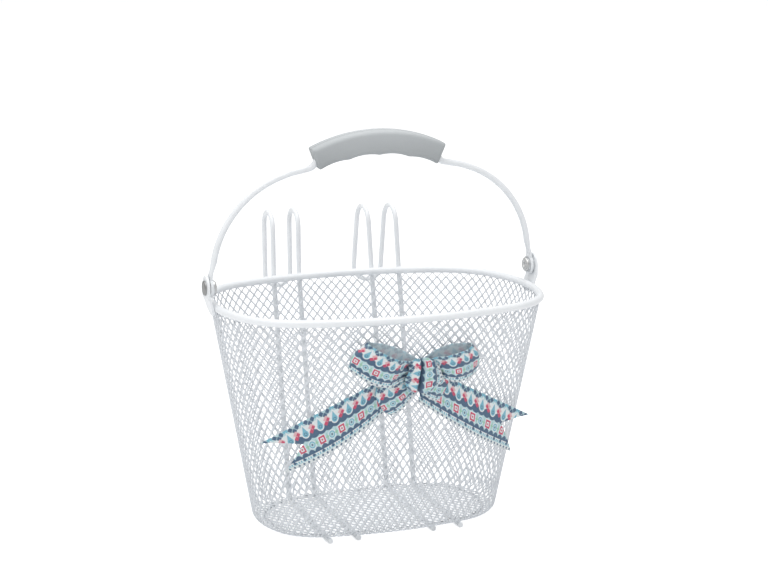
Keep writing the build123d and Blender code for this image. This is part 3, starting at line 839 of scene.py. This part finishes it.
# %% Both flaps
def bow_flap(name, side, start, end, begin_w, end_w, stand, shift):
    """A short tongue from start to end (x, up), its width growing on the way."""
    t, v = np.meshgrid(np.linspace(0, 1, 41), np.linspace(0, 1, 25), indexing="ij")
    if side > 0:
        v = v[:, ::-1]
    dx, dy = end[0] - start[0], end[1] - start[1]
    size = np.hypot(dx, dy)
    along_x, along_y = dx / size, dy / size
    ups = np.array([-along_y, along_x]) * side
    width = begin_w + (end_w - begin_w) * smooth(t * 1.2)
    reach = t * (1 - 0.12 * np.abs(2 * v - 1) ** 3)
    w = (0.5 - v) * width
    x = start[0] + dx * reach + ups[0] * w
    up = start[1] + dy * reach + ups[1] * w
    out = 2.2 + stand * np.sin(np.pi * np.clip(t * 0.85 + 0.08, 0, 1)) * (0.7 + 0.3 * np.sin(np.pi * v))
    out = out + 1.0 * (1 - smooth(t * 1.5)) * np.sin(4 * np.pi * v)
    grid = bow_point(x, up, out)
    along = np.broadcast_to(lengths(grid)[:, None], t.shape) + shift
    return strip(name, grid, along, v)


left_flap = bow_flap("left_flap", -1, (-5.0, -4.5), (-30.5, -20.5), 15.0, 27.0, 4.0, 0.004)
right_flap = bow_flap("right_flap", 1, (1.0, -3.0), (22.0, -10.5), 17.0, 24.5, 4.0, 0.009)

# %% [markdown]
# ## The knot
#
# The knot is one more turn of the same ribbon, wrapped over everything from top to
# bottom and pulled tight, so it is full in the middle, drawn in at its sides, and
# runs in deep folds along the wrap.

# %% The knot
KNOT_W, KNOT_H, KNOT_D = 30.0, 27.0, 12.5
KNOT_UP, CREASE = 4.0, -3.0               # its middle above the tails', and its deep fold
t, v = np.meshgrid(np.linspace(0.02, 0.98, 97), np.linspace(0, 1, 65), indexing="ij")
turn = -2 * np.pi * t
squareness = 0.62


def blunt(c):
    """Cosine or sine drawn towards its ends, which makes a circle a rounded square."""
    return np.sign(c) * np.abs(c) ** squareness


out = KNOT_D / 2 + 1.0 - KNOT_D / 2 * blunt(np.cos(turn))
rise = -blunt(np.sin(turn))
x = (v - 0.5) * KNOT_W * (1 - 0.20 * smooth(np.abs(rise + 0.15)))
edge = np.abs(2 * v - 1)
up = KNOT_UP + KNOT_H / 2 * rise * (1 - 0.30 * edge**2.2)
facing = smooth((out - 2.0) / (KNOT_D - 2.0))
crease = np.exp(-(((x - CREASE - 0.08 * up) / 1.5) ** 2))
folds = np.sin(v * 8.5 * np.pi + 1.1 * np.sin(turn)) * (0.3 + 0.7 * np.abs(rise))
out = out + (0.9 * folds - 5.5 * crease - 3.0 * edge**2.6) * facing
up = up - 1.2 * crease * rise
grid = bow_point(x, up, out)
along = np.broadcast_to(lengths(grid)[:, None], t.shape)
knot = strip("knot", grid, along, v)
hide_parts("bow_knot")

# %% [markdown]
# ## Floor, light and camera
#
# The set is a pale floor under an even white sky, with one large soft light above and
# in front and a weak one from the left, so that the round wires shade from white on
# top to grey beneath. Sky and floor look brighter than they light, which keeps the
# surroundings plain white while the mesh keeps its shading.

# %% Floor
bpy.ops.mesh.primitive_plane_add(size=30.0, location=(0, 0, 0))
ground = bpy.context.object
ground.name = "ground"
b = Bench("pale floor")
clouds = b.noise(b.node("ShaderNodeTexCoord", out=3), 3.0, 3.0)
BLACK, FLOOR_GLOW = (0.0, 0.0, 0.0, 1.0), (0.45, 0.45, 0.45, 1.0)
seen = b.node("ShaderNodeLightPath")
ground.data.materials.append(
    b.surface(
        Base_Color=b.mix(clouds, rgb(244, 245, 246), rgb(248, 249, 250)),
        Roughness=0.75,
        Emission_Color=b.mix(seen, BLACK, FLOOR_GLOW),
        Emission_Strength=1.0,
    )
)


# %% Light
def soft_light(name, place, aim, size, power):
    """Square area light at a place, turned to a point."""
    light = bpy.data.lights.new(name, "AREA")
    light.size, light.energy = size, power
    lamp = bpy.data.objects.new(name, light)
    lamp.location = place
    lamp.rotation_euler = (Vector(aim) - Vector(place)).to_track_quat("-Z", "Y").to_euler()
    bpy.context.scene.collection.objects.link(lamp)


middle = (0.0, 0.0, 0.12)
soft_light("overhead", (-0.15, -0.1, 2.2), middle, 2.5, 36.0)
soft_light("side", (-1.6, -0.9, 0.9), middle, 1.0, 3.0)

SKY_SEEN, SKY_LIGHT = 1.02, 0.6
world = bpy.data.worlds.new("studio")
bpy.context.scene.world = world
world.use_nodes = True
sky = world.node_tree
direct = sky.nodes.new("ShaderNodeLightPath")
level = sky.nodes.new("ShaderNodeMapRange")
level.inputs["To Min"].default_value, level.inputs["To Max"].default_value = SKY_LIGHT, SKY_SEEN
sky.links.new(direct.outputs["Is Camera Ray"], level.inputs["Value"])
sky.links.new(level.outputs["Result"], sky.nodes["Background"].inputs["Strength"])
sky.nodes["Background"].inputs["Color"].default_value = (1.0, 1.0, 1.0, 1.0)
bpy.context.scene.view_settings.view_transform = "Standard"

# %% Camera
CAMERA_AT = (-0.462699, -1.316844 + MIDDLE_Y, 0.456757 + FLOOR_Z)
YAW, PITCH, ROLL = 0.3433, -0.1921, -0.0088
right = np.array([np.cos(YAW), -np.sin(YAW), 0.0])
ahead = np.array([np.sin(YAW) * np.cos(PITCH), np.cos(YAW) * np.cos(PITCH), np.sin(PITCH)])
above = np.cross(right, ahead)
cam_x = right * np.cos(ROLL) + above * np.sin(ROLL)
cam_y = -right * np.sin(ROLL) + above * np.cos(ROLL)
camera = bpy.data.objects.new("camera", bpy.data.cameras.new("camera"))
bpy.context.scene.collection.objects.link(camera)
turned = Matrix([[*row] for row in np.stack([cam_x, cam_y, -ahead], 1)]).to_4x4()
camera.matrix_world = Matrix.Translation(CAMERA_AT) @ turned
camera.data.sensor_width = 36.0
camera.data.lens = 84.056
bpy.context.scene.camera = camera

# %% The end
bpy.context.view_layer.update()
